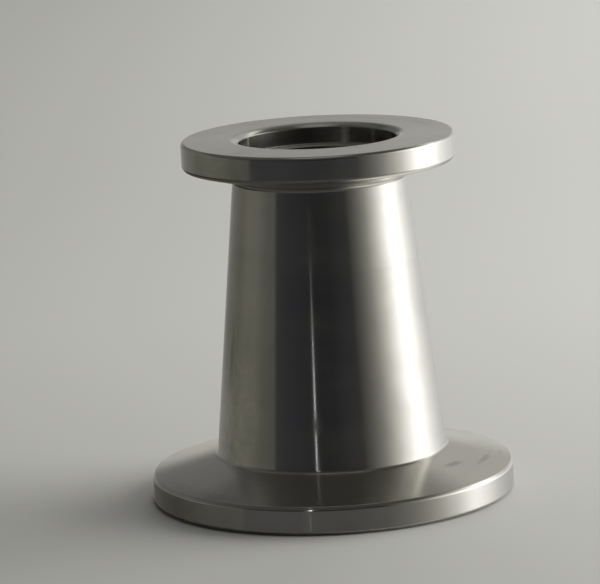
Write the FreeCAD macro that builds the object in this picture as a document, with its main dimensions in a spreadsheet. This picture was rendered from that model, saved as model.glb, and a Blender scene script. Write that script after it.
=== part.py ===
import FreeCAD, Part
import os
import Sketcher
from enum import IntEnum

# Conical reducer for clamp-flange vacuum pipework, turned in one piece from stainless bar.
# It stands on its large flange, with the Z axis along the flow passage and Z = 0 at the large sealing face.

os.makedirs("parts", exist_ok=True)

NODE = "conical_reducer"

# Driving sizes in millimetres and degrees
SIZES = {
    # Face to face
    "overall_length": 40.0,
    # Flanges: outside diameter, and the straight rim before the clamp taper
    "large_flange_diameter": 40.0,
    "small_flange_diameter": 30.0,
    "large_rim_thickness": 2.9,
    "small_rim_thickness": 2.9,
    # Slope of both clamp tapers from the sealing faces
    "clamp_taper_angle": 15.0,
    # Recesses that hold the centring rings
    "large_recess_diameter": 26.2,
    "large_recess_depth": 2.4,
    "small_recess_diameter": 17.3,
    "small_recess_depth": 2.4,
    # Ledges that the centring rings rest on, from each recess in to the bore
    "large_ledge_width": 2.05,
    "small_ledge_width": 0.775,
    # Wall of the cone, measured square to the axis, which makes its ends 25.4 and 19.05 across
    "wall_thickness": 1.65,
    # Broken edges at 45 degrees: rims at the sealing faces, rims at the tapers, recess mouths and ledges
    "face_edge_chamfer": 0.25,
    "taper_edge_chamfer": 0.3,
    "mouth_chamfer": 0.5,
    "ledge_chamfer": 0.2,
    # Radius that the tool leaves between each taper and the cone
    "root_radius": 0.6,
}

# Radii as expressions of the sheet's sizes
LARGE_FLANGE_RADIUS = "Sizes.large_flange_diameter / 2"
SMALL_FLANGE_RADIUS = "Sizes.small_flange_diameter / 2"
LARGE_RECESS_RADIUS = "Sizes.large_recess_diameter / 2"
SMALL_RECESS_RADIUS = "Sizes.small_recess_diameter / 2"
LARGE_BORE_RADIUS = f"({LARGE_RECESS_RADIUS} - Sizes.large_ledge_width)"
SMALL_BORE_RADIUS = f"({SMALL_RECESS_RADIUS} - Sizes.small_ledge_width)"
LARGE_CONE_RADIUS = f"({LARGE_BORE_RADIUS} + Sizes.wall_thickness)"
SMALL_CONE_RADIUS = f"({SMALL_BORE_RADIUS} + Sizes.wall_thickness)"

# Heights above the large sealing face
TAPER_SLOPE = "tan(Sizes.clamp_taper_angle * 1 deg)"
BASE = "0"
TOP = "Sizes.overall_length"
LARGE_RIM_EDGE = "Sizes.large_rim_thickness"
SMALL_RIM_EDGE = f"{TOP} - Sizes.small_rim_thickness"
LARGE_ROOT = f"{LARGE_RIM_EDGE} + ({LARGE_FLANGE_RADIUS} - {LARGE_CONE_RADIUS}) * {TAPER_SLOPE}"
SMALL_ROOT = f"{SMALL_RIM_EDGE} - ({SMALL_FLANGE_RADIUS} - {SMALL_CONE_RADIUS}) * {TAPER_SLOPE}"
LARGE_LEDGE = "Sizes.large_recess_depth"
SMALL_LEDGE = f"{TOP} - Sizes.small_recess_depth"

AXIS = "0"
FULL_TURN = 360
MATCH_TOLERANCE = 1e-4


class SketchAxis(IntEnum):
    """Sketcher's numbers for its own axes."""

    HORIZONTAL = -1
    VERTICAL = -2


class SketchPoint(IntEnum):
    """Sketcher's numbers for the points of a line, a circle or an axis."""

    START = 1
    END = 2
    CENTRE = 3


ORIGIN_POINT = (SketchAxis.HORIZONTAL, SketchPoint.START)


def make_sheet(document):
    """Put the driving sizes in a spreadsheet, one per row, each with an alias."""
    sheet = document.addObject("Spreadsheet::Sheet", "Sizes")
    for row, (alias, value) in enumerate(SIZES.items(), start=1):
        sheet.set(f"A{row}", alias.replace("_", " "))
        sheet.set(f"B{row}", str(value))
        sheet.setAlias(f"B{row}", alias)
    document.recompute()
    return sheet


def origin_plane(body, role):
    """Give one of the body's own origin planes."""
    return next(plane for plane in body.Origin.OriginFeatures if plane.Role == role)


def turned_profile(body, name, corners):
    """Draw a closed half section with X as radius and Y as height.

    Each corner is held by its radius and its height, both bound to the sheet.
    """
    sketch = body.newObject("Sketcher::SketchObject", name)
    sketch.AttachmentSupport = (origin_plane(body, "XZ_Plane"), "")
    sketch.MapMode = "FlatFace"
    points = [
        FreeCAD.Vector(float(sketch.evalExpression(radius)), float(sketch.evalExpression(height)), 0)
        for radius, height in corners.values()
    ]
    for start, end in zip(points, points[1:] + points[:1]):
        sketch.addGeometry(Part.LineSegment(start, end))
    for line in range(len(points)):
        following = (line + 1) % len(points)
        ends = (line, SketchPoint.END, following, SketchPoint.START)
        sketch.addConstraint(Sketcher.Constraint("Coincident", *ends))
    for line, (corner, (radius, height)) in enumerate(corners.items()):
        if radius == AXIS:
            hold_on_axis(sketch, line, SketchAxis.VERTICAL)
        else:
            hold_corner(sketch, "DistanceX", line, points[line].x, f"{corner}_radius", radius)
        if height == BASE:
            hold_on_axis(sketch, line, SketchAxis.HORIZONTAL)
        else:
            hold_corner(sketch, "DistanceY", line, points[line].y, f"{corner}_height", height)
    return sketch


def hold_on_axis(sketch, line, axis):
    """Hold the start of a line on one of the sketch's axes."""
    sketch.addConstraint(Sketcher.Constraint("PointOnObject", line, SketchPoint.START, axis))


def hold_corner(sketch, direction, line, value, name, expression):
    """Dimension the start of a line from the sketch's origin and bind the dimension."""
    ends = (*ORIGIN_POINT, line, SketchPoint.START)
    index = sketch.addConstraint(Sketcher.Constraint(direction, *ends, value))
    sketch.renameConstraint(index, name)
    sketch.setExpression(f"Constraints.{name}", expression)


def add_blank(body):
    """Revolve the outside: rim, clamp taper, cone, clamp taper and rim, with flat sealing faces."""
    sketch = turned_profile(body, "OutsideProfile", {
        "base_centre": (AXIS, BASE),
        "large_face_edge": (LARGE_FLANGE_RADIUS, BASE),
        "large_rim_edge": (LARGE_FLANGE_RADIUS, LARGE_RIM_EDGE),
        "large_root": (LARGE_CONE_RADIUS, LARGE_ROOT),
        "small_root": (SMALL_CONE_RADIUS, SMALL_ROOT),
        "small_rim_edge": (SMALL_FLANGE_RADIUS, SMALL_RIM_EDGE),
        "small_face_edge": (SMALL_FLANGE_RADIUS, TOP),
        "top_centre": (AXIS, TOP),
    })
    blank = body.newObject("PartDesign::Revolution", "TurnedBlank")
    blank.Profile = sketch
    blank.ReferenceAxis = (sketch, ["V_Axis"])
    blank.Angle = FULL_TURN
    sketch.Visibility = False
    return blank


def add_flow_passage(body):
    """Groove the through passage: a straight land in each flange and a cone parallel to the outside."""
    sketch = turned_profile(body, "PassageProfile", {
        "base_centre": (AXIS, BASE),
        "large_end": (LARGE_BORE_RADIUS, BASE),
        "large_land_end": (LARGE_BORE_RADIUS, LARGE_ROOT),
        "small_land_end": (SMALL_BORE_RADIUS, SMALL_ROOT),
        "small_end": (SMALL_BORE_RADIUS, TOP),
        "top_centre": (AXIS, TOP),
    })
    passage = body.newObject("PartDesign::Groove", "FlowPassage")
    passage.Profile = sketch
    passage.ReferenceAxis = (sketch, ["V_Axis"])
    passage.Angle = FULL_TURN
    sketch.Visibility = False
    return passage


def add_ring_recess(body, end, diameter, depth, face_height, into_positive_z):
    """Counterbore one sealing face for the centring ring."""
    sketch = body.newObject("Sketcher::SketchObject", f"{end}RecessCircle")
    sketch.AttachmentSupport = (origin_plane(body, "XY_Plane"), "")
    sketch.MapMode = "FlatFace"
    sketch.setExpression("AttachmentOffset.Base.z", face_height)
    radius = float(sketch.evalExpression(diameter)) / 2
    circle = sketch.addGeometry(Part.Circle(FreeCAD.Vector(), FreeCAD.Vector(0, 0, 1), radius))
    sketch.addConstraint(Sketcher.Constraint("Coincident", circle, SketchPoint.CENTRE, *ORIGIN_POINT))
    index = sketch.addConstraint(Sketcher.Constraint("Diameter", circle, 2 * radius))
    sketch.renameConstraint(index, "recess_diameter")
    sketch.setExpression("Constraints.recess_diameter", diameter)
    recess = body.newObject("PartDesign::Pocket", f"{end}RingRecess")
    recess.Profile = sketch
    recess.setExpression("Length", depth)
    recess.Reversed = into_positive_z
    sketch.Visibility = False
    return recess


def circles_at(feature, places):
    """Name the feature's circular edges that have the given radii and heights."""
    wanted = [
        (float(feature.evalExpression(radius)), float(feature.evalExpression(height)))
        for radius, height in places
    ]
    names = [
        f"Edge{number}"
        for number, edge in enumerate(feature.Shape.Edges, start=1)
        if isinstance(edge.Curve, Part.Circle)
        and any(
            abs(edge.Curve.Radius - radius) < MATCH_TOLERANCE
            and abs(edge.Curve.Center.z - height) < MATCH_TOLERANCE
            for radius, height in wanted
        )
    ]
    if len(names) != len(wanted):
        raise RuntimeError(f"{feature.Name}: {len(names)} of {len(wanted)} edges found")
    return names


def dress_edges(document, body, kind, name, size, places):
    """Chamfer or fillet circular edges of the body's last feature."""
    document.recompute()
    base = body.Tip
    feature = body.newObject(f"PartDesign::{kind}", name)
    feature.Base = (base, circles_at(base, places))
    feature.setExpression("Radius" if kind == "Fillet" else "Size", size)
    return feature


def require_less_material(document, before, cut):
    """Stop if a cut removed nothing."""
    document.recompute()
    if cut.Shape.Volume >= before - MATCH_TOLERANCE:
        raise RuntimeError(f"{cut.Name} cuts nothing")
    return cut.Shape.Volume


def build_reducer(document):
    """Build the reducer as one body."""
    body = document.addObject("PartDesign::Body", "Reducer")
    body.Label = NODE
    body.Placement = FreeCAD.Placement()
    blank = add_blank(body)
    document.recompute()
    volume = blank.Shape.Volume
    volume = require_less_material(document, volume, add_flow_passage(body))
    large_recess = add_ring_recess(
        body, "Large", "Sizes.large_recess_diameter", "Sizes.large_recess_depth", BASE, True)
    volume = require_less_material(document, volume, large_recess)
    small_recess = add_ring_recess(
        body, "Small", "Sizes.small_recess_diameter", "Sizes.small_recess_depth", TOP, False)
    require_less_material(document, volume, small_recess)
    dress_edges(document, body, "Fillet", "RootFillets", "Sizes.root_radius", [
        (LARGE_CONE_RADIUS, LARGE_ROOT),
        (SMALL_CONE_RADIUS, SMALL_ROOT),
    ])
    dress_edges(document, body, "Chamfer", "FaceEdgeChamfers", "Sizes.face_edge_chamfer", [
        (LARGE_FLANGE_RADIUS, BASE),
        (SMALL_FLANGE_RADIUS, TOP),
    ])
    dress_edges(document, body, "Chamfer", "TaperEdgeChamfers", "Sizes.taper_edge_chamfer", [
        (LARGE_FLANGE_RADIUS, LARGE_RIM_EDGE),
        (SMALL_FLANGE_RADIUS, SMALL_RIM_EDGE),
    ])
    dress_edges(document, body, "Chamfer", "MouthChamfers", "Sizes.mouth_chamfer", [
        (LARGE_RECESS_RADIUS, BASE),
        (SMALL_RECESS_RADIUS, TOP),
    ])
    dress_edges(document, body, "Chamfer", "LedgeChamfers", "Sizes.ledge_chamfer", [
        (LARGE_BORE_RADIUS, LARGE_LEDGE),
        (SMALL_BORE_RADIUS, SMALL_LEDGE),
    ])
    document.recompute()
    return body


def require_sound(document, parts):
    """Stop if a feature failed or a shape isn't a valid solid."""
    for item in document.Objects:
        if "Invalid" in item.State or "Error" in item.State:
            raise RuntimeError(f"{item.Label} failed")
    for part in parts:
        if part.Shape.isNull() or not part.Shape.isValid():
            raise RuntimeError(f"{part.Label} has no valid shape")


drawing = FreeCAD.newDocument("ConicalReducer")
make_sheet(drawing)
reducer = build_reducer(drawing)
require_sound(drawing, [reducer])
reducer.Shape.exportStep(f"parts/{reducer.Label}.step")
print(f"{reducer.Label}: volume {reducer.Shape.Volume:.1f} mm3")
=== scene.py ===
"""A turned conical reducer with two clamp flanges, standing on its large flange."""

import logging
import math
from dataclasses import dataclass
from enum import Enum
from typing import Sequence

import bpy
from mathutils import Matrix, Vector


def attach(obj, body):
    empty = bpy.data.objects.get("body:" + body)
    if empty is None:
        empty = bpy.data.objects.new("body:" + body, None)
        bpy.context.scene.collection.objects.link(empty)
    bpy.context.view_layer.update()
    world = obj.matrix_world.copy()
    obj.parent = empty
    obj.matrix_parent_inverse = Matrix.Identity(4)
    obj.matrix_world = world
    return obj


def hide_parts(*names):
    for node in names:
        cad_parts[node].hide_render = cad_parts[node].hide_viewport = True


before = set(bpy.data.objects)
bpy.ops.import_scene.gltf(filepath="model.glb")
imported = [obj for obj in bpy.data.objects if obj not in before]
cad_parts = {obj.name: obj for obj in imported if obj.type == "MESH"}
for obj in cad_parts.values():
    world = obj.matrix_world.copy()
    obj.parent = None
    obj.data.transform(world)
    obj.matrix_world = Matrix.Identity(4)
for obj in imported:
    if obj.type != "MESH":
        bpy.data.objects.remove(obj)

NODE = "conical_reducer"
BODY = "root"
CUT_MARK = "cut"
PHOTO_WIDTH = 600
MM = 0.001
MICROWATT = 0.000001
NOISE_MEAN = 0.5

Color = tuple[float, float, float]
Socket = bpy.types.NodeSocket

log = logging.getLogger("conical_reducer")


class Cut(Enum):
    """The cuts that leave a surface of their own, by the number that the faces carry."""

    CONE = 0
    FLANGE = 1
    FACING = 2
    BORING = 3
    LEDGE = 4


@dataclass(frozen=True)
class ReducerSizes:
    """Radii, heights and roundings of the reducer in metres, and its clamp taper in degrees."""

    length: float = 40.0 * MM
    large_flange: float = 20.0 * MM
    small_flange: float = 15.0 * MM
    large_rim: float = 3.1 * MM
    small_rim: float = 2.9 * MM
    taper: float = 15.0
    large_cone: float = 12.7 * MM
    small_cone: float = 9.525 * MM
    wall: float = 1.65 * MM
    large_recess: float = 13.1 * MM
    small_recess: float = 8.65 * MM
    recess_depth: float = 2.3 * MM
    face_edge: float = 0.25 * MM
    foot_edge: float = 0.4 * MM
    taper_edge: float = 0.25 * MM
    mouth_chamfer: float = 0.48 * MM
    ledge_chamfer: float = 0.2 * MM
    root: float = 0.5 * MM
    face_edge_rounding: float = 0.3 * MM
    foot_edge_rounding: float = 0.25 * MM
    taper_edge_rounding: float = 0.35 * MM
    taper_crest_rounding: float = 0.12 * MM
    mouth_rounding: float = 1.1 * MM
    mouth_inner_rounding: float = 0.15 * MM
    tool_nose: float = 0.1 * MM
    land_blend: float = 1.5 * MM

    def taper_rise(self, flange: float, inner: float) -> float:
        """Height that a clamp taper gains from the flange's rim to a smaller radius."""
        return (flange - inner) * math.tan(math.radians(self.taper))

    @property
    def large_root(self) -> float:
        """Height where the large flange's taper meets the cone."""
        return self.large_rim + self.taper_rise(self.large_flange, self.large_cone)

    @property
    def small_root(self) -> float:
        """Height where the small flange's taper meets the cone."""
        return self.length - self.small_rim - self.taper_rise(self.small_flange, self.small_cone)


@dataclass(frozen=True)
class Corner:
    """A corner of the turned section, its rounding, and the cut of the run after it."""

    radius: float
    height: float
    rounding: float
    cut: Cut
    steps: int = 4


class Section:
    """The half section of the reducer, as the lathe tool follows it."""

    SUPPORT = 0.02 * MM
    ROOT_STEPS = 8

    def __init__(self, sizes: ReducerSizes) -> None:
        """Keep the sizes.

        Args:
            sizes: The reducer's sizes.
        """
        self.sizes = sizes

    def corners(self) -> list[Corner]:
        """Give the corners, up the outside and down the passage.

        Returns:
            The corners in order, each with its rounding.
        """
        s = self.sizes
        slope = math.radians(s.taper)
        inward = s.taper_edge * math.cos(slope)
        upward = s.taper_edge * math.sin(slope)
        small_rim = s.length - s.small_rim
        top_ledge = s.length - s.recess_depth
        large_bore = s.large_cone - s.wall
        small_bore = s.small_cone - s.wall
        face, foot = s.face_edge_rounding, s.foot_edge_rounding
        edge, crest = s.taper_edge_rounding, s.taper_crest_rounding
        mouth, inner, nose = s.mouth_rounding, s.mouth_inner_rounding, s.tool_nose
        return [
            Corner(s.large_recess + s.mouth_chamfer, 0.0, mouth, Cut.FACING),
            Corner(s.large_flange - s.foot_edge, 0.0, foot, Cut.FLANGE),
            Corner(s.large_flange, s.foot_edge, foot, Cut.FLANGE),
            Corner(s.large_flange, s.large_rim - s.taper_edge, edge, Cut.FLANGE),
            Corner(s.large_flange - inward, s.large_rim + upward, crest, Cut.FLANGE),
            Corner(s.large_cone, s.large_root, s.root, Cut.CONE, self.ROOT_STEPS),
            Corner(s.small_cone, s.small_root, s.root, Cut.FLANGE, self.ROOT_STEPS),
            Corner(s.small_flange - inward, small_rim - upward, edge, Cut.FLANGE),
            Corner(s.small_flange, small_rim + s.taper_edge, edge, Cut.FLANGE),
            Corner(s.small_flange, s.length - s.face_edge, face, Cut.FLANGE),
            Corner(s.small_flange - s.face_edge, s.length, face, Cut.FACING),
            Corner(s.small_recess + s.mouth_chamfer, s.length, mouth, Cut.FACING),
            Corner(s.small_recess, s.length - s.mouth_chamfer, inner, Cut.BORING),
            Corner(s.small_recess, top_ledge, nose, Cut.LEDGE),
            Corner(small_bore + s.ledge_chamfer, top_ledge, nose, Cut.LEDGE),
            Corner(small_bore, top_ledge - s.ledge_chamfer, nose, Cut.BORING),
            Corner(small_bore, s.small_root, s.land_blend, Cut.BORING),
            Corner(large_bore, s.large_root, s.land_blend, Cut.BORING),
            Corner(large_bore, s.recess_depth + s.ledge_chamfer, nose, Cut.LEDGE),
            Corner(large_bore + s.ledge_chamfer, s.recess_depth, nose, Cut.LEDGE),
            Corner(s.large_recess, s.recess_depth, nose, Cut.BORING),
            Corner(s.large_recess, s.mouth_chamfer, inner, Cut.FACING),
        ]

    def points(self) -> list[tuple[Vector, Cut]]:
        """Round every corner and add a close point beside each arc, which keeps the flats flat.

        Returns:
            Points with X as radius and Z as height, each with the cut of the run that follows it.
        """
        corners = self.corners()
        result: list[tuple[Vector, Cut]] = []
        for index, corner in enumerate(corners):
            before = corners[index - 1]
            after = corners[(index + 1) % len(corners)]
            result += self._rounded(before, corner, after)
        return result

    def _rounded(self, before: Corner, corner: Corner, after: Corner) -> list[tuple[Vector, Cut]]:
        """Round one corner.

        Args:
            before: The corner that the tool comes from.
            corner: The corner to round.
            after: The corner that the tool goes to.

        Returns:
            The arc's points with a support point at each end.
        """
        here = Vector((corner.radius, 0.0, corner.height))
        back = (Vector((before.radius, 0.0, before.height)) - here).normalized()
        ahead = (Vector((after.radius, 0.0, after.height)) - here).normalized()
        half = back.angle(ahead) / 2
        reach = corner.rounding / math.tan(half)
        centre = here + (back + ahead).normalized() * (corner.rounding / math.sin(half))
        start = here + back * reach - centre
        turn = math.pi - 2 * half
        axis = start.cross(here + ahead * reach - centre).normalized()
        arc = [
            centre + Matrix.Rotation(turn * step / corner.steps, 3, axis) @ start
            for step in range(corner.steps + 1)
        ]
        lead_in = here + back * (reach + self.SUPPORT)
        lead_out = here + ahead * (reach + self.SUPPORT)
        cuts = [before.cut] + [corner.cut] * (len(arc) + 1)
        return list(zip([lead_in, *arc, lead_out], cuts))


class NodeKit:
    """Adds and links the nodes of one tree."""

    # The Mix node has a socket of each name for every kind of data. These are the colours' own.
    MIX_FACTOR = 0
    MIX_FIRST = 6
    MIX_SECOND = 7
    MIX_RESULT = 2

    def __init__(self, tree: bpy.types.NodeTree) -> None:
        """Keep the tree.

        Args:
            tree: The tree to fill.
        """
        self.tree = tree

    def feed(self, socket: Socket, value: object) -> None:
        """Link a socket to an output, or set its value.

        Args:
            socket: The input.
            value: An output socket or a plain value.
        """
        if isinstance(value, Socket):
            self.tree.links.new(value, socket)
        else:
            socket.default_value = value

    def wire(self, node: bpy.types.Node, inputs: dict[str | int, object]) -> None:
        """Feed several inputs of a node.

        Args:
            node: The node.
            inputs: Output sockets or plain values, by the input's name or number.
        """
        for name, value in inputs.items():
            self.feed(node.inputs[name], value)

    def add(
        self, kind: str, inputs: dict[str | int, object] | None = None, **settings: object
    ) -> bpy.types.Node:
        """Add a node.

        Args:
            kind: The node's type.
            inputs: What its inputs get, if anything.
            settings: Properties of the node by name.

        Returns:
            The new node.
        """
        node = self.tree.nodes.new(kind)
        for name, value in settings.items():
            setattr(node, name, value)
        self.wire(node, inputs or {})
        return node

    def math(self, operation: str, *values: object) -> Socket:
        """Add a Math node.

        Args:
            operation: The node's operation.
            values: Its inputs, as outputs of other nodes or plain numbers.

        Returns:
            The node's output.
        """
        node = self.add("ShaderNodeMath", dict(enumerate(values)), operation=operation)
        return node.outputs[0]

    def smooth(self, value: object, low: float, high: float) -> Socket:
        """Rise smoothly from 0 to 1 as a value goes from low to high.

        Args:
            value: The value.
            low: Where the result is 0.
            high: Where the result is 1.

        Returns:
            The node's output.
        """
        inputs = {"Value": value, "From Min": low, "From Max": high}
        return self.add("ShaderNodeMapRange", inputs, interpolation_type="SMOOTHSTEP").outputs[0]

    def place(self) -> Socket:
        """Give the shaded point's place on the object."""
        return self.add("ShaderNodeTexCoord").outputs["Object"]

    def split(self, vector: Socket) -> tuple[Socket, Socket, Socket]:
        """Give the X, Y and Z of a vector."""
        return tuple(self.add("ShaderNodeSeparateXYZ", {0: vector}).outputs)

    def join(self, x: Socket, y: Socket, z: Socket) -> Socket:
        """Make a vector of its X, Y and Z."""
        return self.add("ShaderNodeCombineXYZ", {0: x, 1: y, 2: z}).outputs[0]

    def noise(self, vector: Socket, scale: object, detail: float) -> Socket:
        """Add a Noise Texture node.

        Args:
            vector: The place.
            scale: The noise's scale.
            detail: The noise's detail.

        Returns:
            The noise, about NOISE_MEAN on average.
        """
        inputs = {"Vector": vector, "Scale": scale, "Detail": detail}
        return self.add("ShaderNodeTexNoise", inputs).outputs[0]

    def scaled(self, color: Color, factor: Socket) -> Socket:
        """Make a colour lighter or darker from place to place.

        Args:
            color: The colour.
            factor: What it is multiplied by.

        Returns:
            The scaled colour.
        """
        inputs = {0: color, "Scale": factor}
        return self.add("ShaderNodeVectorMath", inputs, operation="SCALE").outputs["Vector"]

    def mix_color(self, factor: Socket, first: object, second: object) -> Socket:
        """Mix two colours.

        Args:
            factor: The second colour's share.
            first: The first colour.
            second: The second colour.

        Returns:
            The mixed colour.
        """
        inputs = {self.MIX_FACTOR: factor, self.MIX_FIRST: first, self.MIX_SECOND: second}
        return self.add("ShaderNodeMix", inputs, data_type="RGBA").outputs[self.MIX_RESULT]

    def mix_shader(self, factor: Socket, first: bpy.types.Node, second: bpy.types.Node) -> Socket:
        """Mix two shaders.

        Args:
            factor: The second shader's share.
            first: The first shader's node.
            second: The second shader's node.

        Returns:
            The mixed shader.
        """
        inputs = {0: factor, 1: first.outputs[0], 2: second.outputs[0]}
        return self.add("ShaderNodeMixShader", inputs).outputs[0]


class TurningTree:
    """The Geometry Nodes tree that turns a section about the Z axis."""

    MERGE = 0.001 * MM
    FEWEST_SEGMENTS = 3

    def build(self, materials: Sequence[bpy.types.Material]) -> bpy.types.NodeTree:
        """Make the tree.

        Args:
            materials: One material for each cut, in the cuts' order.

        Returns:
            The tree, with the section and the number of segments as inputs.
        """
        tree = bpy.data.node_groups.new("turned_from_section", "GeometryNodeTree")
        tree.interface.new_socket("Section", in_out="INPUT", socket_type="NodeSocketGeometry")
        segments = tree.interface.new_socket("Segments", in_out="INPUT", socket_type="NodeSocketInt")
        segments.min_value = self.FEWEST_SEGMENTS
        tree.interface.new_socket("Turned", in_out="OUTPUT", socket_type="NodeSocketGeometry")
        kit = NodeKit(tree)
        entry = kit.add("NodeGroupInput").outputs
        section, count = entry["Section"], entry["Segments"]
        size = kit.add("GeometryNodeAttributeDomainSize", {"Geometry": section}, component="MESH")
        rings = size.outputs["Point Count"]
        lines = {"Vertices X": kit.math("ADD", count, 1), "Vertices Y": kit.math("ADD", rings, 1)}
        shown = kit.add("GeometryNodeMeshGrid", lines).outputs["Mesh"]
        shown = self._turn(kit, shown, section, count, rings)
        shown = self._carry_cut(kit, shown, section, rings)
        merged = {"Geometry": shown, "Distance": self.MERGE}
        shown = kit.add("GeometryNodeMergeByDistance", merged).outputs[0]
        shown = kit.add("GeometryNodeSetShadeSmooth", {"Geometry": shown}).outputs[0]
        shown = kit.add("GeometryNodeRealizeInstances", {"Geometry": shown}).outputs[0]
        for number, material in enumerate(materials):
            shown = self._dress(kit, shown, number, material)
        kit.add("NodeGroupOutput", {"Turned": shown})
        return tree

    def _turn(
        self, kit: NodeKit, mesh: Socket, section: Socket, count: Socket, rings: Socket
    ) -> Socket:
        """Place the grid's points: one way they follow the section, the other way they go round.

        Args:
            kit: The tree's nodes.
            mesh: The flat grid.
            section: The section's points.
            count: The number of segments round the axis.
            rings: The number of the section's points.

        Returns:
            The turned mesh, with an open seam.
        """
        step, row = self._line_and_place(kit, kit.math("ADD", rings, 1))
        position = kit.add("GeometryNodeInputPosition").outputs[0]
        point = self._sample(kit, "FLOAT_VECTOR", section, position, kit.math("MODULO", row, rings))
        radius, _, height = kit.split(point)
        share = kit.math("DIVIDE", kit.math("MODULO", step, count), count)
        angle = kit.math("MULTIPLY", share, math.tau)
        x = kit.math("MULTIPLY", radius, kit.math("COSINE", angle))
        y = kit.math("MULTIPLY", radius, kit.math("SINE", angle))
        moved = {"Geometry": mesh, "Position": kit.join(x, y, height)}
        return kit.add("GeometryNodeSetPosition", moved).outputs[0]

    def _carry_cut(self, kit: NodeKit, mesh: Socket, section: Socket, rings: Socket) -> Socket:
        """Store on each face the number of the cut that left it.

        Args:
            kit: The tree's nodes.
            mesh: The turned mesh.
            section: The section's points, which carry the numbers.
            rings: The number of the section's points.

        Returns:
            The mesh with its marked faces.
        """
        _, row = self._line_and_place(kit, rings)
        number = self._sample(kit, "INT", section, self._mark(kit), row)
        marked = {"Geometry": mesh, "Name": CUT_MARK, "Value": number}
        store = kit.add("GeometryNodeStoreNamedAttribute", marked, data_type="INT", domain="FACE")
        return store.outputs[0]

    def _dress(
        self, kit: NodeKit, mesh: Socket, number: int, material: bpy.types.Material
    ) -> Socket:
        """Set the material of the faces that carry one cut's number.

        Args:
            kit: The tree's nodes.
            mesh: The marked mesh.
            number: The cut's number.
            material: The cut's finish.

        Returns:
            The mesh with that material on it.
        """
        pair = {"A": self._mark(kit), "B": number}
        same = kit.add("FunctionNodeCompare", pair, data_type="INT", operation="EQUAL").outputs[0]
        dressed = {"Geometry": mesh, "Selection": same, "Material": material}
        return kit.add("GeometryNodeSetMaterial", dressed).outputs[0]

    def _line_and_place(self, kit: NodeKit, length: Socket) -> tuple[Socket, Socket]:
        """Split the running number of a grid's elements, which are counted line by line.

        Args:
            kit: The tree's nodes.
            length: The elements in one line.

        Returns:
            The number of the line, and the place in the line.
        """
        index = kit.add("GeometryNodeInputIndex").outputs[0]
        # Half a step keeps the quotient clear of the whole numbers, where it could round down.
        line = kit.math("FLOOR", kit.math("DIVIDE", kit.math("ADD", index, 0.5), length))
        return line, kit.math("SUBTRACT", index, kit.math("MULTIPLY", line, length))

    def _sample(
        self, kit: NodeKit, kind: str, section: Socket, value: Socket, index: Socket
    ) -> Socket:
        """Read a value from one of the section's points.

        Args:
            kit: The tree's nodes.
            kind: The value's data type.
            section: The section's points.
            value: The value to read.
            index: The point's number.

        Returns:
            The value at that point.
        """
        inputs = {"Geometry": section, "Value": value, "Index": index}
        sample = kit.add("GeometryNodeSampleIndex", inputs, data_type=kind, domain="POINT")
        return sample.outputs[0]

    def _mark(self, kit: NodeKit) -> Socket:
        """Read the number of the cut."""
        named = kit.add("GeometryNodeInputNamedAttribute", {"Name": CUT_MARK}, data_type="INT")
        return named.outputs[0]


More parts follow.
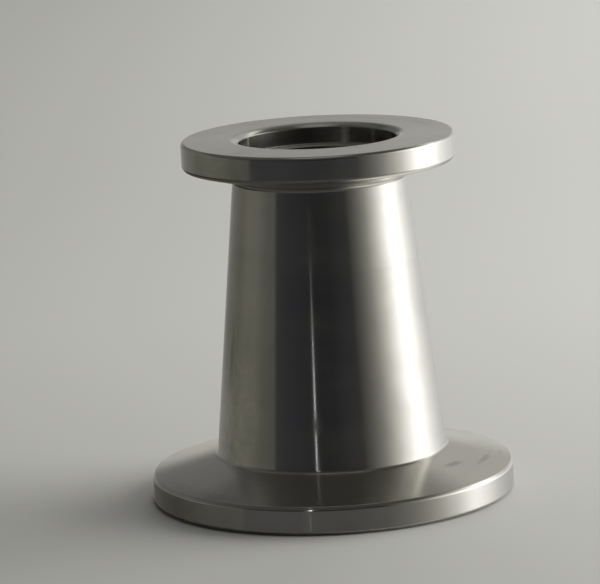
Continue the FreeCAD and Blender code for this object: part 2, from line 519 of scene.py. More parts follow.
class SteelEffects:
    """The node groups that the steel finishes share."""

    LONG_MARK = 12.0 * MM
    DRIFT_X = 0.6
    DRIFT_Y = 0.8
    STREAK_PITCHES = 14.0
    MARK_DETAIL = 2.0
    HAZE_DETAIL = 4.0
    HAZE_RISE = 0.25
    TOUCH_DETAIL = 3.0
    TOUCH_GRAIN = 0.9 * MM
    TOUCH_DEPTH = 0.6 * MM
    TOUCH_RAGGEDNESS = 1.2
    TOUCH_REACH = 1.4

    def __init__(self) -> None:
        """Build each group once."""
        self.marks = self._lathe_marks()
        self.haze = self._haze()
        self.touch = self._touch_and_painted_light_mask()

    def _group(self, name: str, inputs: Sequence[str], outputs: Sequence[str]) -> NodeKit:
        """Start a shader node group with plain number sockets.

        Args:
            name: The group's name.
            inputs: Names of its inputs.
            outputs: Names of its outputs.

        Returns:
            A kit on the new group's tree.
        """
        tree = bpy.data.node_groups.new(name, "ShaderNodeTree")
        for item in inputs:
            tree.interface.new_socket(item, in_out="INPUT", socket_type="NodeSocketFloat")
        for item in outputs:
            tree.interface.new_socket(item, in_out="OUTPUT", socket_type="NodeSocketFloat")
        return NodeKit(tree)

    def _place(self, kit: NodeKit) -> tuple[Socket, Socket, Socket, Socket]:
        """Read the place of the shaded point.

        Args:
            kit: The group's nodes.

        Returns:
            Its X, Y and Z, and its distance from the axis.
        """
        x, y, z = kit.split(kit.place())
        square = kit.math("MULTIPLY_ADD", x, x, kit.math("MULTIPLY", y, y))
        return x, y, z, kit.math("SQRT", square)

    def _lathe_marks(self) -> bpy.types.NodeTree:
        """Make the fine rings that a turning tool leaves, which change slowly along their way.

        Returns:
            The group: the height of the fine marks, and the streaks that many of them make.
        """
        kit = self._group("lathe_marks", ["Pitch"], ["Height", "Streak"])
        pitch = kit.add("NodeGroupInput").outputs["Pitch"]
        x, y, z, radius = self._place(kit)
        across = kit.math("MULTIPLY_ADD", x, self.DRIFT_X, kit.math("MULTIPLY", y, self.DRIFT_Y))
        drift = kit.math("DIVIDE", across, self.LONG_MARK)
        rings = {}
        for name, pitches in (("Height", 1.0), ("Streak", self.STREAK_PITCHES)):
            width = kit.math("MULTIPLY", pitch, pitches)
            place = kit.join(kit.math("DIVIDE", radius, width), kit.math("DIVIDE", z, width), drift)
            rings[name] = kit.noise(place, 1.0, self.MARK_DETAIL)
        kit.add("NodeGroupOutput", rings)
        return kit.tree

    def _haze(self) -> bpy.types.NodeTree:
        """Make the soft clouds of uneven polish and light handling.

        Returns:
            The group: the haze, which leaves a share of the surface clear.
        """
        kit = self._group("handling_haze", ["Size", "Clear Share"], ["Haze"])
        entry = kit.add("NodeGroupInput").outputs
        noise = kit.noise(kit.place(), kit.math("DIVIDE", 1.0, entry["Size"]), self.HAZE_DETAIL)
        above = kit.math("SUBTRACT", noise, entry["Clear Share"])
        kit.add("NodeGroupOutput", {"Haze": kit.smooth(above, 0.0, self.HAZE_RISE)})
        return kit.tree

    def _touch_and_painted_light_mask(self) -> bpy.types.NodeTree:
        """Make the mask of one patch with a ragged edge, placed round the axis and along the
        section, for smudge marks and painted light alike.

        Returns:
            The group: the smudge's mask.
        """
        names = ["Angle", "Radius", "Height", "Slope", "Around", "Along", "Tilt"]
        kit = self._group("touch_and_painted_light_mask", names, ["Mask"])
        entry = kit.add("NodeGroupInput").outputs
        x, y, z, radius = self._place(kit)
        angle = kit.math("ARCTAN2", x, kit.math("MULTIPLY", y, -1.0))
        around = kit.math("MULTIPLY", kit.math("SUBTRACT", angle, entry["Angle"]), radius)
        out = kit.math("SUBTRACT", radius, entry["Radius"])
        up = kit.math("SUBTRACT", z, entry["Height"])
        along, off = self._turned(kit, out, up, entry["Slope"])
        around, along = self._turned(kit, around, along, entry["Tilt"])
        around = kit.math("DIVIDE", around, entry["Around"])
        along = kit.math("DIVIDE", along, entry["Along"])
        off = kit.math("DIVIDE", off, self.TOUCH_DEPTH)
        near = kit.math("MULTIPLY_ADD", around, around, kit.math("MULTIPLY", along, along))
        far = kit.math("SQRT", kit.math("MULTIPLY_ADD", off, off, near))
        noise = kit.noise(kit.place(), 1.0 / self.TOUCH_GRAIN, self.TOUCH_DETAIL)
        uneven = kit.math("SUBTRACT", noise, NOISE_MEAN)
        ragged = kit.math("MULTIPLY_ADD", uneven, self.TOUCH_RAGGEDNESS, far)
        inside = kit.math("MULTIPLY", ragged, -1.0)
        kit.add("NodeGroupOutput", {"Mask": kit.smooth(inside, -self.TOUCH_REACH, 0.0)})
        return kit.tree

    def _turned(
        self, kit: NodeKit, first: Socket, second: Socket, angle: Socket
    ) -> tuple[Socket, Socket]:
        """Turn two coordinates by an angle.

        Args:
            kit: The group's nodes.
            first: The first coordinate.
            second: The second coordinate.
            angle: The angle in radians.

        Returns:
            The place along the turned axis, and the place across it.
        """
        cosine, sine = kit.math("COSINE", angle), kit.math("SINE", angle)
        along = kit.math("MULTIPLY_ADD", first, cosine, kit.math("MULTIPLY", second, sine))
        back = kit.math("MULTIPLY", kit.math("MULTIPLY", first, sine), -1.0)
        return along, kit.math("MULTIPLY_ADD", second, cosine, back)


@dataclass(frozen=True)
class SmudgeAndPaintedLight:
    """A patch on the steel, which is a touch mark, a painted highlight, a painted reflection or
    painted shade, with its angles in degrees and its lengths in metres.

    The angle is 0 at the front and 90 at the right, the slope is the section's own, and around
    and along are half sizes round the axis and along the section. A loss below 0 makes the steel
    lighter.
    """

    angle: float
    radius: float
    height: float
    slope: float
    around: float
    along: float
    tilt: float = 0.0
    loss: float = 0.3
    dulling: float = 0.1

    def mask(self, kit: NodeKit, touch: bpy.types.NodeTree) -> Socket:
        """Place the patch in a material, as a smudge mark or as painted light.

        Args:
            kit: The material's nodes.
            touch: The shared group of a touch mark.

        Returns:
            The patch's mask.
        """
        inputs = {
            "Angle": math.radians(self.angle),
            "Radius": self.radius,
            "Height": self.height,
            "Slope": math.radians(self.slope),
            "Around": self.around,
            "Along": self.along,
            "Tilt": math.radians(self.tilt),
        }
        return kit.add("ShaderNodeGroup", inputs, node_tree=touch).outputs["Mask"]


@dataclass(frozen=True)
class SteelFinish:
    """One finish of the steel: lay round the axis, tool marks, uneven polish, smudge marks, and
    painted highlights, reflections and shade.
    """

    name: str
    color: Color
    roughness: float
    anisotropy: float
    pitch: float = 0.12 * MM
    mark_depth: float = 0.2
    streak: float = 0.03
    haze: float = 0.03
    smudges_and_painted_light: tuple[SmudgeAndPaintedLight, ...] = ()
    second_pass_from: float = 0.0
    second_pass_gain: float = 0.0

    LAY_ROTATION = 0.25
    GROOVE = 0.001 * MM
    HAZE_SIZE = 5.0 * MM
    CLEAR_SHARE = 0.45
    PASS_EDGE = 0.15 * MM
    PASS_ROUGHNESS = 0.2

    def material(self, effects: SteelEffects) -> bpy.types.Material:
        """Make the material.

        Args:
            effects: The shared node groups.

        Returns:
            The material.
        """
        material = bpy.data.materials.new(self.name)
        material.use_nodes = True
        kit = NodeKit(material.node_tree)
        marks = kit.add("ShaderNodeGroup", {"Pitch": self.pitch}, node_tree=effects.marks).outputs
        shade, rough = self._worn(kit, effects, marks["Streak"])
        grooves = {"Strength": self.mark_depth, "Distance": self.GROOVE, "Height": marks["Height"]}
        steel = {
            "Base Color": kit.scaled(self.color, shade),
            "Metallic": 1.0,
            "Roughness": rough,
            "Normal": kit.add("ShaderNodeBump", grooves).outputs["Normal"],
            "Anisotropic": self.anisotropy,
            "Anisotropic Rotation": self.LAY_ROTATION,
            "Tangent": kit.add("ShaderNodeTangent", direction_type="RADIAL", axis="Z").outputs[0],
        }
        kit.wire(material.node_tree.nodes["Principled BSDF"], steel)
        return material

    def _worn(self, kit: NodeKit, effects: SteelEffects, streak: Socket) -> tuple[Socket, Socket]:
        """Let the streaks, the haze, the smudge marks and the patches of painted light, and the
        second pass change the steel.

        Args:
            kit: The material's nodes.
            effects: The shared node groups.
            streak: The streaks of the tool marks.

        Returns:
            What the colour is multiplied by, and the roughness.
        """
        clouds = {"Size": self.HAZE_SIZE, "Clear Share": self.CLEAR_SHARE}
        haze = kit.add("ShaderNodeGroup", clouds, node_tree=effects.haze).outputs["Haze"]
        uneven = kit.math("SUBTRACT", streak, NOISE_MEAN)
        rough = kit.math("MULTIPLY_ADD", uneven, self.streak / NOISE_MEAN, self.roughness)
        rough = kit.math("MULTIPLY_ADD", haze, self.haze, rough)
        shade = kit.math("MULTIPLY_ADD", haze, -self.haze, 1.0)
        # Each patch darkens the colour, or lightens it where its loss is below 0; some are smudge
        # marks, and some are painted highlights, reflections and shade.
        for smudge in self.smudges_and_painted_light:
            mask = smudge.mask(kit, effects.touch)
            shade = kit.math("MULTIPLY", shade, kit.math("MULTIPLY_ADD", mask, -smudge.loss, 1.0))
            rough = kit.math("MULTIPLY_ADD", mask, smudge.dulling, rough)
        if self.second_pass_from:
            gain = self.second_pass_gain
            band = self._second_pass(kit)
            shade = kit.math("MULTIPLY", shade, kit.math("MULTIPLY_ADD", band, gain, 1.0))
            rough = kit.math("MULTIPLY_ADD", band, self.PASS_ROUGHNESS * gain, rough)
        return shade, rough

    def _second_pass(self, kit: NodeKit) -> Socket:
        """Mask the upper part, where the second polishing pass ends in a faint ring.

        Args:
            kit: The material's nodes.

        Returns:
            The mask.
        """
        _, _, z = kit.split(kit.place())
        edge = self.second_pass_from
        return kit.smooth(z, edge - self.PASS_EDGE, edge + self.PASS_EDGE)


class Reducer:
    """The one-piece reducer."""

    SEGMENTS = 320
    UPRIGHT = 90.0

    def __init__(self, sizes: ReducerSizes) -> None:
        """Keep the sizes.

        Args:
            sizes: The reducer's sizes.
        """
        self.sizes = sizes

    def build(self) -> bpy.types.Object:
        """Turn the section into the finished mesh.

        Returns:
            The piece, with its place in its mesh.
        """
        section = self._section_object()
        effects = SteelEffects()
        finishes = self.finishes()
        tree = TurningTree().build([finishes[cut].material(effects) for cut in Cut])
        turning = section.modifiers.new("turning", "NODES")
        turning.node_group = tree
        socket = next(item for item in tree.interface.items_tree if item.name == "Segments")
        turning[socket.identifier] = self.SEGMENTS
        graph = bpy.context.evaluated_depsgraph_get()
        mesh = bpy.data.meshes.new_from_object(section.evaluated_get(graph), depsgraph=graph)
        mesh.name = "turned_reducer"
        bpy.data.objects.remove(section)
        piece = bpy.data.objects.new("turned_reducer", mesh)
        bpy.context.scene.collection.objects.link(piece)
        return piece

    def finishes(self) -> dict[Cut, SteelFinish]:
        """Give the finishes.

        Returns:
            The finish that each cut leaves.
        """
        return {
            Cut.CONE: SteelFinish(
                "polished_cone", (0.62, 0.61, 0.585), roughness=0.17, anisotropy=1.0,
                smudges_and_painted_light=self._cone_marks(), second_pass_from=26.5 * MM, second_pass_gain=0.04,
            ),
            Cut.FLANGE: SteelFinish(
                "turned_clamp_flange", (0.69, 0.68, 0.652), roughness=0.15, anisotropy=0.9,
                smudges_and_painted_light=self._flange_marks_and_painted_light(),
            ),
            Cut.FACING: SteelFinish(
                "faced_sealing_end", (0.60, 0.60, 0.575), roughness=0.2, anisotropy=0.5,
                mark_depth=0.4,
            ),
            # Painted shade: the bored walls get a much darker steel colour than the other cuts,
            # which darkens the recess walls and the passage.
            Cut.BORING: SteelFinish(
                "bored_passage", (0.36, 0.355, 0.345), roughness=0.22, anisotropy=0.9,
                smudges_and_painted_light=self._painted_wall_streaks(),
            ),
            Cut.LEDGE: SteelFinish(
                "faced_ledge", (0.72, 0.715, 0.69), roughness=0.6, anisotropy=0.0,
                pitch=0.2 * MM, mark_depth=0.8,
            ),
        }

    def _cone_marks(self) -> tuple[SmudgeAndPaintedLight, ...]:
        """Give the touch marks of the cone, two broad patches on its left, one darker and one
        lighter, and two darker marks on the strip lamp's line.

        Returns:
            The marks, most of them on the left.
        """
        return (
            self._on_cone(-66, 16.5 * MM, 0.6 * MM, 3.6 * MM, loss=0.18),
            self._on_cone(-88, 13.2 * MM, 0.5 * MM, 0.7 * MM, loss=0.3),
            # A darker patch at mid height on the left, and a broad lighter patch below it.
            self._on_cone(-76, 20.0 * MM, 2.0 * MM, 4.0 * MM, loss=0.12, dulling=0.0),
            self._on_cone(-75, 10.0 * MM, 6.0 * MM, 6.5 * MM, loss=-0.42, dulling=0.0),
            # These two darken the steel along the strip lamp's line, which dims the line at 10 mm
            # height and above 27 mm.
            self._on_cone(-7.8, 10.4 * MM, 0.6 * MM, 1.3 * MM, loss=0.2, dulling=0.12),
            self._on_cone(-8.0, 30.5 * MM, 0.5 * MM, 3.6 * MM, loss=0.25, dulling=0.1),
        )

    def _flange_marks_and_painted_light(self) -> tuple[SmudgeAndPaintedLight, ...]:
        """Give the marks and the painted light of the two clamp flanges.

        Returns:
            The touch marks and a band of painted shade on the large flange's taper, a broad darker
            patch on the small flange's rim, and a painted highlight line on the large flange's rim.
        """
        s = self.sizes
        return (
            self._on_foot(58, 15.4 * MM, 1.7 * MM, 0.5 * MM, tilt=5, loss=0.34),
            self._on_foot(76, 17.2 * MM, 2.6 * MM, 0.36 * MM, tilt=2, loss=0.3),
            self._on_foot(90, 18.5 * MM, 1.2 * MM, 0.3 * MM, tilt=2, loss=0.2),
            self._on_foot(-57, 17.8 * MM, 0.1 * MM, 0.9 * MM, loss=0.15),
            # Painted shade: darkens the outer part of the large taper on the left, where less of the
            # cone's reflected light reaches it.
            self._on_foot(-50, 19.3 * MM, 8.0 * MM, 1.4 * MM, loss=0.2, dulling=0.0),
            # Darkens a broad patch on the small flange's rim at the front left.
            self._on_upright(
                -40, s.small_flange, 38.6 * MM, 5.0 * MM, 5.0 * MM, loss=0.2, dulling=0.0
            ),
            # Painted highlight: lightens a thin upright line on the large flange's rim, where the
            # strip lamp's line runs down to the table.
            self._on_upright(
                -8.1, s.large_flange, 1.4 * MM, 0.16 * MM, 1.4 * MM, loss=-0.4, dulling=0.0
            ),
        )

    def _painted_wall_streaks(self) -> tuple[SmudgeAndPaintedLight, ...]:
        """Give the painted reflections: light streaks half way down the small recess's wall.

        Returns:
            The painted streaks.
        """
        s = self.sizes
        height = s.length - s.recess_depth / 2
        return (
            # Painted reflections: these lighten the dark recess wall in three narrow upright
            # streaks.
            self._on_upright(158.5, s.small_recess, height, 0.5 * MM, 2.4 * MM, loss=-1.45),
            self._on_upright(133.8, s.small_recess, height, 0.3 * MM, 1.6 * MM, loss=-0.4),
            self._on_upright(-118.5, s.small_recess, height, 0.3 * MM, 1.2 * MM, loss=-0.3),
        )

    def _on_cone(
        self, angle: float, height: float, around: float, along: float, **rest: float
    ) -> SmudgeAndPaintedLight:
        """Place a smudge or another darker or lighter patch on the cone.

        Args:
            angle: Degrees round from the front.
            height: Its height above the table.
            around: Its half size round the axis.
            along: Its half size along the cone.
            rest: The patch's other values.

        Returns:
            The patch.
        """
        s = self.sizes
        rise = s.small_root - s.large_root
        share = (height - s.large_root) / rise
        radius = s.large_cone + share * (s.small_cone - s.large_cone)
        slope = math.degrees(math.atan2(rise, s.small_cone - s.large_cone))
        return SmudgeAndPaintedLight(angle, radius, height, slope, around, along, **rest)

    def _on_foot(
        self, angle: float, radius: float, around: float, along: float, **rest: float
    ) -> SmudgeAndPaintedLight:
        """Place a smudge or a patch of painted shade on the large flange's clamp taper.

        Args:
            angle: Degrees round from the front.
            radius: Its distance from the axis.
            around: Its half size round the axis.
            along: Its half size along the taper.
            rest: The patch's other values.

        Returns:
            The patch.
        """
        s = self.sizes
        height = s.large_rim + s.taper_rise(s.large_flange, radius)
        return SmudgeAndPaintedLight(angle, radius, height, -s.taper, around, along, **rest)

    def _on_upright(
        self,
        angle: float,
        radius: float,
        height: float,
        around: float,
        along: float,
        **rest: float,
    ) -> SmudgeAndPaintedLight:
        """Place a patch on an upright rim or wall: a darker patch, a painted highlight or a painted
        reflection.

        Args:
            angle: Degrees round from the front.
            radius: The rim's or wall's radius.
            height: Its height above the table.
            around: Its half size round the axis.
            along: Its half size up and down.
            rest: The patch's other values.

        Returns:
            The patch.
        """
        return SmudgeAndPaintedLight(angle, radius, height, self.UPRIGHT, around, along, **rest)

    def _section_object(self) -> bpy.types.Object:
        """Make the section a ring of points that carry the cuts' numbers.

        Returns:
            The section's object, which only lasts until it is turned.
        """
        points = Section(self.sizes).points()
        mesh = bpy.data.meshes.new("section")
        edges = [(index, (index + 1) % len(points)) for index in range(len(points))]
        mesh.from_pydata([tuple(place) for place, _ in points], edges, [])
        numbers = mesh.attributes.new(CUT_MARK, "INT", "POINT")
        numbers.data.foreach_set("value", [cut.value for _, cut in points])
        section = bpy.data.objects.new("section", mesh)
        bpy.context.scene.collection.objects.link(section)
        return section


@dataclass(frozen=True)
class PhotoCamera:
    """The camera of the photograph, solved from the flanges' edges, with its angles in degrees."""

    focal_pixels: float = 3997.0
    distance: float = 440.0 * MM
    elevation: float = 11.04
    roll: float = -2.87
    target: tuple[float, float, float] = (-2.71 * MM, 0.0, 22.66 * MM)

    SENSOR = 36.0
    NEAREST = 0.01
    FARTHEST = 20.0

    def build(self) -> bpy.types.Object:
        """Add the camera and make it the scene's.

        Returns:
            The camera object.
        """
        data = bpy.data.cameras.new("photo_camera")
        data.sensor_width = self.SENSOR
        data.lens = self.focal_pixels / PHOTO_WIDTH * self.SENSOR
        data.clip_start = self.NEAREST
        data.clip_end = self.FARTHEST
        camera = bpy.data.objects.new("photo_camera", data)
        bpy.context.scene.collection.objects.link(camera)
        tilt, roll = math.radians(self.elevation), math.radians(self.roll)
        ahead = Vector((0.0, math.cos(tilt), -math.sin(tilt)))
        level = Vector((1.0, 0.0, 0.0))
        upright = Vector((0.0, math.sin(tilt), math.cos(tilt)))
        right = level * math.cos(roll) + upright * math.sin(roll)
        top = upright * math.cos(roll) - level * math.sin(roll)
        turn = Matrix((right, top, -ahead)).transposed()
        stand = Vector(self.target) - ahead * self.distance
        camera.matrix_world = Matrix.Translation(stand) @ turn.to_4x4()
        bpy.context.scene.camera = camera
        return camera


class Tint(Enum):
    """The tints of the room."""

    WARM = (1.0, 0.985, 0.79)
    SOFT = (1.0, 0.985, 0.89)
    PLAIN = (1.0, 0.995, 0.96)
    COOL = (1.0, 1.04, 1.28)


@dataclass(frozen=True)
class SkyStop:
    """A tone of the surroundings at an azimuth in degrees, 0 at the camera and 90 to its right."""

    azimuth: float
    radiance: float
    tint: Tint


@dataclass(frozen=True)
class SkyBand:
    """A band of tones right round the object, which covers what is below it.

    It comes in from low to top, heights on a sphere of radius 1 round the object.
    """

    low: float
    top: float
    stops: tuple[SkyStop, ...]


class Surroundings:
    """The room that the steel reflects, painted on the world in soft bands."""

    STRENGTH = 2.4
    BACKDROP = (0.56, 0.555, 0.53)
    ZENITH = 0.29
    ZENITH_LOW = 0.95
    ZENITH_TOP = 0.99

    def ground(self) -> SkyBand:
        """Give the band straight below, which the undercuts and the lower edges reflect.

        Returns:
            The lowest band, with nothing below it to cover.
        """
        soft = Tint.SOFT
        return SkyBand(-1.0, -1.0, (
            SkyStop(-180, 0.2, soft), SkyStop(-140, 0.07, soft), SkyStop(-60, 0.05, soft),
            SkyStop(20, 0.04, soft), SkyStop(50, 0.1, soft), SkyStop(85, 0.7, soft),
            SkyStop(120, 0.9, soft), SkyStop(155, 0.7, soft), SkyStop(180, 0.2, soft),
        ))

    def below(self) -> SkyBand:
        """Give the band below the horizon, which the large flange's rim reflects.

        Returns:
            The band.
        """
        soft, plain = Tint.SOFT, Tint.PLAIN
        return SkyBand(-0.6, -0.35, (
            SkyStop(-180, 0.11, soft), SkyStop(-165, 0.058, soft), SkyStop(-140, 0.028, soft),
            SkyStop(-105, 0.008, soft), SkyStop(-70, 0.05, plain), SkyStop(-55, 0.083, plain),
            SkyStop(0, 0.103, plain), SkyStop(35, 0.125, soft), SkyStop(55, 0.165, soft),
            SkyStop(70, 0.24, soft), SkyStop(85, 0.43, soft), SkyStop(100, 1.0, plain),
            SkyStop(115, 0.85, plain), SkyStop(130, 0.51, plain), SkyStop(150, 0.42, plain),
            SkyStop(163, 0.42, soft), SkyStop(180, 0.56, soft),
        ))

    def horizon(self) -> SkyBand:
        """Give the band that the upright surfaces reflect, dark in front and bright at the right.

        Returns:
            The band.
        """
        warm, soft, plain, cool = Tint.WARM, Tint.SOFT, Tint.PLAIN, Tint.COOL
        return SkyBand(-0.25, -0.18, (
            SkyStop(-180, 0.57, soft), SkyStop(-170, 0.38, soft), SkyStop(-160, 0.24, soft),
            SkyStop(-145, 0.19, soft), SkyStop(-120, 0.15, warm), SkyStop(-104, 0.19, warm),
            SkyStop(-88, 0.19, warm), SkyStop(-76, 0.15, warm), SkyStop(-60.9, 0.12, soft),
            SkyStop(-58.9, 0.045, plain), SkyStop(-48, 0.032, cool), SkyStop(-30, 0.023, cool),
            SkyStop(-10, 0.012, cool), SkyStop(6, 0.012, cool), SkyStop(20, 0.025, cool),
            SkyStop(32, 0.032, plain), SkyStop(35, 0.065, soft), SkyStop(40, 0.1, soft),
            SkyStop(48, 0.19, soft), SkyStop(56, 0.336, soft), SkyStop(64, 0.57, soft),
            SkyStop(72, 0.88, soft), SkyStop(80, 1.30, plain), SkyStop(88, 1.74, plain),
            SkyStop(96, 2.11, plain), SkyStop(104, 2.17, plain), SkyStop(112, 1.84, plain),
            SkyStop(124, 1.34, plain), SkyStop(140, 0.95, plain), SkyStop(160, 0.67, plain),
            SkyStop(180, 0.57, soft),
        ))

    def upper(self) -> SkyBand:
        """Give the band above the horizon, which the sealing face and the tapers reflect.

        Returns:
            The band.
        """
        soft, plain = Tint.SOFT, Tint.PLAIN
        return SkyBand(0.06, 0.24, (
            SkyStop(-180, 0.28, plain), SkyStop(-168, 0.145, plain), SkyStop(-110, 0.14, plain),
            SkyStop(-70, 0.06, soft), SkyStop(-45, 0.03, soft), SkyStop(30, 0.03, soft),
            SkyStop(60, 0.3, soft), SkyStop(95, 1.8, plain), SkyStop(120, 1.8, plain),
            SkyStop(135, 0.8, plain), SkyStop(150, 0.5, plain), SkyStop(168, 0.48, soft),
            SkyStop(180, 0.3, plain),
        ))

    def high(self) -> SkyBand:
        """Give the band under the ceiling, with only the top of the window in it.

        Returns:
            The band.
        """
        warm, soft, plain = Tint.WARM, Tint.SOFT, Tint.PLAIN
        return SkyBand(0.5, 0.62, (
            SkyStop(-180, 0.18, plain), SkyStop(-168, 0.05, plain), SkyStop(-143, 0.08, plain),
            SkyStop(-105, 0.1, plain), SkyStop(-70, 0.065, soft), SkyStop(40, 0.06, soft),
            SkyStop(60, 0.19, soft), SkyStop(80, 0.34, warm), SkyStop(95, 0.45, warm),
            SkyStop(105, 0.5, warm), SkyStop(115, 0.4, warm), SkyStop(128, 0.15, warm),
            SkyStop(140, 1.5, warm), SkyStop(155, 0.62, soft), SkyStop(168, 0.17, soft),
            SkyStop(180, 0.18, plain),
        ))

    def ceiling(self) -> SkyBand:
        """Give the ceiling, lighter behind the object.

        Returns:
            The band.
        """
        warm, soft, plain = Tint.WARM, Tint.SOFT, Tint.PLAIN
        return SkyBand(0.63, 0.77, (
            SkyStop(-180, 0.2, soft), SkyStop(-120, 0.1, soft), SkyStop(-70, 0.06, plain),
            SkyStop(-10, 0.045, plain), SkyStop(30, 0.045, plain), SkyStop(50, 0.07, soft),
            SkyStop(75, 0.07, warm), SkyStop(95, 0.06, warm), SkyStop(120, 0.08, soft),
            SkyStop(180, 0.2, soft),
        ))

    def build(self) -> bpy.types.World:
        """Paint the bands for the steel, and show the camera a plain backdrop.

        Returns:
            The world.
        """
        world = bpy.data.worlds.new("studio")
        bpy.context.scene.world = world
        world.use_nodes = True
        world.node_tree.nodes.clear()
        kit = NodeKit(world.node_tree)
        x, y, z = kit.split(kit.add("ShaderNodeTexCoord").outputs["Generated"])
        azimuth = kit.math("ARCTAN2", x, kit.math("MULTIPLY", y, -1.0))
        turn = kit.math("ADD", kit.math("DIVIDE", azimuth, math.tau), 0.5)
        painted = self._ramp(kit, turn, self.ground())
        for band in (self.below(), self.horizon(), self.upper(), self.high(), self.ceiling()):
            share = kit.smooth(z, band.low, band.top)
            painted = kit.mix_color(share, painted, self._ramp(kit, turn, band))
        zenith = self._tone(self.ZENITH, Tint.SOFT)
        share = kit.smooth(z, self.ZENITH_LOW, self.ZENITH_TOP)
        painted = kit.mix_color(share, painted, zenith)
        room = kit.add("ShaderNodeBackground", {"Color": painted, "Strength": self.STRENGTH})
        backdrop = kit.add("ShaderNodeBackground", {"Color": (*self.BACKDROP, 1.0)})
        seen = kit.add("ShaderNodeLightPath").outputs["Is Camera Ray"]
        kit.add("ShaderNodeOutputWorld", {"Surface": kit.mix_shader(seen, room, backdrop)})
        return world

    def _ramp(self, kit: NodeKit, turn: Socket, band: SkyBand) -> Socket:
        """Paint one band.

        Args:
            kit: The world's nodes.
            turn: The azimuth from 0 to 1.
            band: The band, with stops from -180 to 180 degrees.

        Returns:
            The band's colour, divided by the world's strength.
        """
        node = kit.add("ShaderNodeValToRGB", {0: turn})
        elements = node.color_ramp.elements
        for stop in band.stops[1:-1]:
            elements.new(stop.azimuth / 360 + 0.5)
        for element, stop in zip(elements, band.stops):
            element.color = self._tone(stop.radiance, stop.tint)
        return node.outputs["Color"]

    def _tone(self, radiance: float, tint: Tint) -> tuple[float, ...]:
        """Give a tone's colour, divided by the world's strength."""
        return (*(radiance / self.STRENGTH * part for part in tint.value), 1.0)


@dataclass(frozen=True)
class PaintedFalloff:
    """A painted falloff of light on the paper along X or Y, between two places in metres."""

    low: float
    high: float
    before: float
    after: float

    def factor(self, kit: NodeKit, place: Socket) -> Socket:
        """Give what the paper's colour is multiplied by, which paints the falloff.

        Args:
            kit: The floor's nodes.
            place: The X or the Y.

        Returns:
            The factor, from before to after.
        """
        rise = kit.smooth(place, self.low, self.high)
        return kit.math("MULTIPLY_ADD", rise, self.after - self.before, self.before)


class PaperFloor:
    """The pale paper that the reducer stands on."""

    HALF_SIZE = 3.0
    PAPER = (0.80, 0.797, 0.765)
    ROUGHNESS = 0.9
    # Painted light: the paper's colour darkens towards the front, the far end, the left and the
    # window lamp's side, as the lamps' falloff and shade would.
    PAINTED_DEPTH_FALLOFF = (PaintedFalloff(-0.09, 0.11, 0.8, 1.0), PaintedFalloff(0.09, 0.25, 1.0, 0.95))
    PAINTED_SIDE_FALLOFF = (PaintedFalloff(-0.12, 0.12, 0.64, 1.0), PaintedFalloff(0.07, 0.35, 1.0, 0.5))
    CONTACT = 20.0 * MM
    CONTACT_EDGE = 0.5 * MM
    REFLECTED = 48.0 * MM
    REFLECTED_FADE = 12.0 * MM
    REFLECTION_LOSS = 0.95

    def build(self) -> bpy.types.Object:
        """Lay the floor.

        Returns:
            The floor.
        """
        half = self.HALF_SIZE
        corners = [(-half, -half, 0.0), (half, -half, 0.0), (half, half, 0.0), (-half, half, 0.0)]
        mesh = bpy.data.meshes.new("floor")
        mesh.from_pydata(corners, [], [(0, 1, 2, 3)])
        mesh.materials.append(self._material())
        floor = bpy.data.objects.new("floor", mesh)
        bpy.context.scene.collection.objects.link(floor)
        return floor

    def _material(self) -> bpy.types.Material:
        """Make the paper, which the steel reflects in full only where it touches it.

        Returns:
            The paper's material.
        """
        material = bpy.data.materials.new("pale_floor")
        material.use_nodes = True
        nodes = material.node_tree.nodes
        kit = NodeKit(material.node_tree)
        where = kit.place()
        paper = nodes["Principled BSDF"]
        matt = {"Roughness": self.ROUGHNESS, "Specular IOR Level": 0.0}
        kit.wire(paper, {"Base Color": self._tone(kit, where), **matt})
        reach = kit.add("ShaderNodeVectorMath", {0: where}, operation="LENGTH").outputs["Value"]
        far = kit.smooth(reach, self.REFLECTED, self.REFLECTED + self.REFLECTED_FADE)
        apart = kit.smooth(reach, self.CONTACT, self.CONTACT + self.CONTACT_EDGE)
        loss = kit.math("MAXIMUM", far, kit.math("MULTIPLY", apart, self.REFLECTION_LOSS))
        glossy = kit.add("ShaderNodeLightPath").outputs["Is Glossy Ray"]
        clear = kit.add("ShaderNodeBsdfTransparent")
        surface = kit.mix_shader(kit.math("MULTIPLY", loss, glossy), paper, clear)
        kit.wire(nodes["Material Output"], {"Surface": surface})
        return material

    def _tone(self, kit: NodeKit, where: Socket) -> Socket:
        """Paint the lamps' falloff and shade into the paper's colour: darker towards the viewer, the
        left, the far end and the window lamp's side.

        Args:
            kit: The floor's nodes.
            where: The place on the floor.

        Returns:
            The paper's colour, with the painted falloff.
        """
        x, y, _ = kit.split(where)
        factors = [shift.factor(kit, y) for shift in self.PAINTED_DEPTH_FALLOFF]
        factors += [shift.factor(kit, x) for shift in self.PAINTED_SIDE_FALLOFF]
        shade = factors[0]
        for factor in factors[1:]:
            shade = kit.math("MULTIPLY", shade, factor)
        return kit.scaled(self.PAPER, shade)


@dataclass(frozen=True)
class StudioLamp:
    """A flat lamp that faces the object: sizes in metres, power in watts, angles in degrees."""

    name: str
    width: float
    height: float
    power: float
    azimuth: float
    elevation: float
    distance: float = 0.92
    aim_height: float = 15.0 * MM
    spread: float = 180.0

    def build(self) -> bpy.types.Object:
        """Hang the lamp.

        Returns:
            The lamp's object.
        """
        data = bpy.data.lights.new(self.name, "AREA")
        data.shape = "RECTANGLE"
        data.size = self.width
        data.size_y = self.height
        data.energy = self.power
        data.spread = math.radians(self.spread)
        lamp = bpy.data.objects.new(self.name, data)
        bpy.context.scene.collection.objects.link(lamp)
        turn, rise = math.radians(self.azimuth), math.radians(self.elevation)
        level = math.cos(rise)
        away = Vector((math.sin(turn) * level, -math.cos(turn) * level, math.sin(rise)))
        lamp.location = away * self.distance + Vector((0.0, 0.0, self.aim_height))
        lamp.rotation_euler = away.to_track_quat("Z", "Y").to_euler()
        return lamp


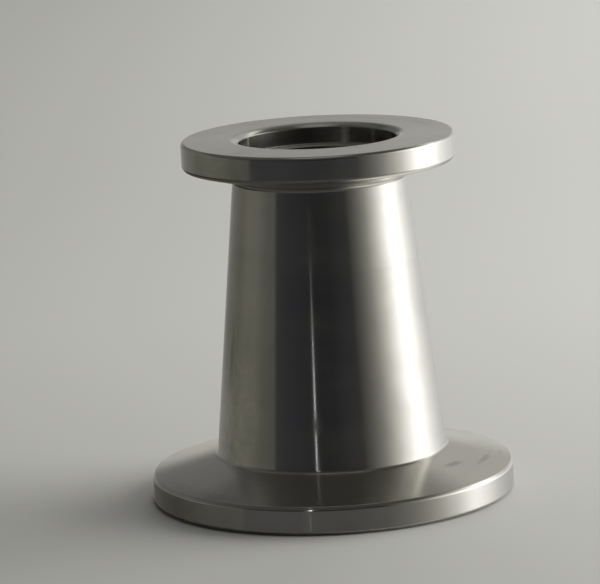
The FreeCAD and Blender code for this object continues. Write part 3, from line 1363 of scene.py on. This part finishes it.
class StudioLamps:
    """The soft lamps that light the paper, and the narrow strips that draw lines on the steel."""

    def soft_lamps(self) -> tuple[StudioLamp, ...]:
        """Give the soft lamps.

        Returns:
            The window at the right, and two weaker ones above and behind.
        """
        return (
            StudioLamp("window", 1.0, 0.5, power=5.9, azimuth=104.0, elevation=27.0),
            StudioLamp("overhead", 0.5, 0.5, power=1.95, azimuth=104.0, elevation=80.0),
            StudioLamp("behind", 0.5, 0.5, power=1.0, azimuth=170.0, elevation=45.0),
        )

    def strips(self) -> tuple[StudioLamp, ...]:
        """Give the narrow strips.

        Returns:
            One for the line down the cone, and one each for the lines on the foot's taper and edge.
        """
        return (
            StudioLamp(
                "narrow_strip", 0.6 * MM, 14.0 * MM, power=4.4 * MICROWATT, azimuth=-15.0,
                elevation=-1.7, distance=80.0 * MM, aim_height=12.0 * MM, spread=34.0,
            ),
            StudioLamp(
                "narrow_strip_top", 0.6 * MM, 8.0 * MM, power=0.4 * MICROWATT, azimuth=-19.0,
                elevation=55.2, distance=101.0 * MM, aim_height=-10.2 * MM, spread=24.0,
            ),
            StudioLamp(
                "narrow_strip_edge", 0.25 * MM, 12.0 * MM, power=3.5 * MICROWATT, azimuth=-12.2,
                elevation=25.0, distance=45.8 * MM, aim_height=-9.9 * MM, spread=26.0,
            ),
        )

    def build(self) -> list[bpy.types.Object]:
        """Hang the lamps. The soft ones leave the reflections to the painted surroundings.

        Returns:
            The lamps.
        """
        lamps = [lamp.build() for lamp in self.soft_lamps()]
        for lamp in lamps:
            lamp.visible_glossy = False
        strips = [lamp.build() for lamp in self.strips()]
        for strip in strips:
            strip.visible_diffuse = False
            strip.visible_camera = False
        return lamps + strips


def main() -> None:
    """Build the reducer and its studio, in order."""
    logging.basicConfig(level=logging.INFO, format="%(name)s: %(message)s")
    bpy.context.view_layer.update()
    reducer = Reducer(ReducerSizes()).build()
    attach(reducer, BODY)
    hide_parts(NODE)
    log.info("%s: %d faces", reducer.name, len(reducer.data.polygons))
    Surroundings().build()
    floor = PaperFloor().build()
    lamps = StudioLamps().build()
    log.info("studio: %s and %d lamps", floor.name, len(lamps))
    PhotoCamera().build()
    bpy.context.scene.view_settings.view_transform = "Standard"


if __name__ == "__main__":
    main()
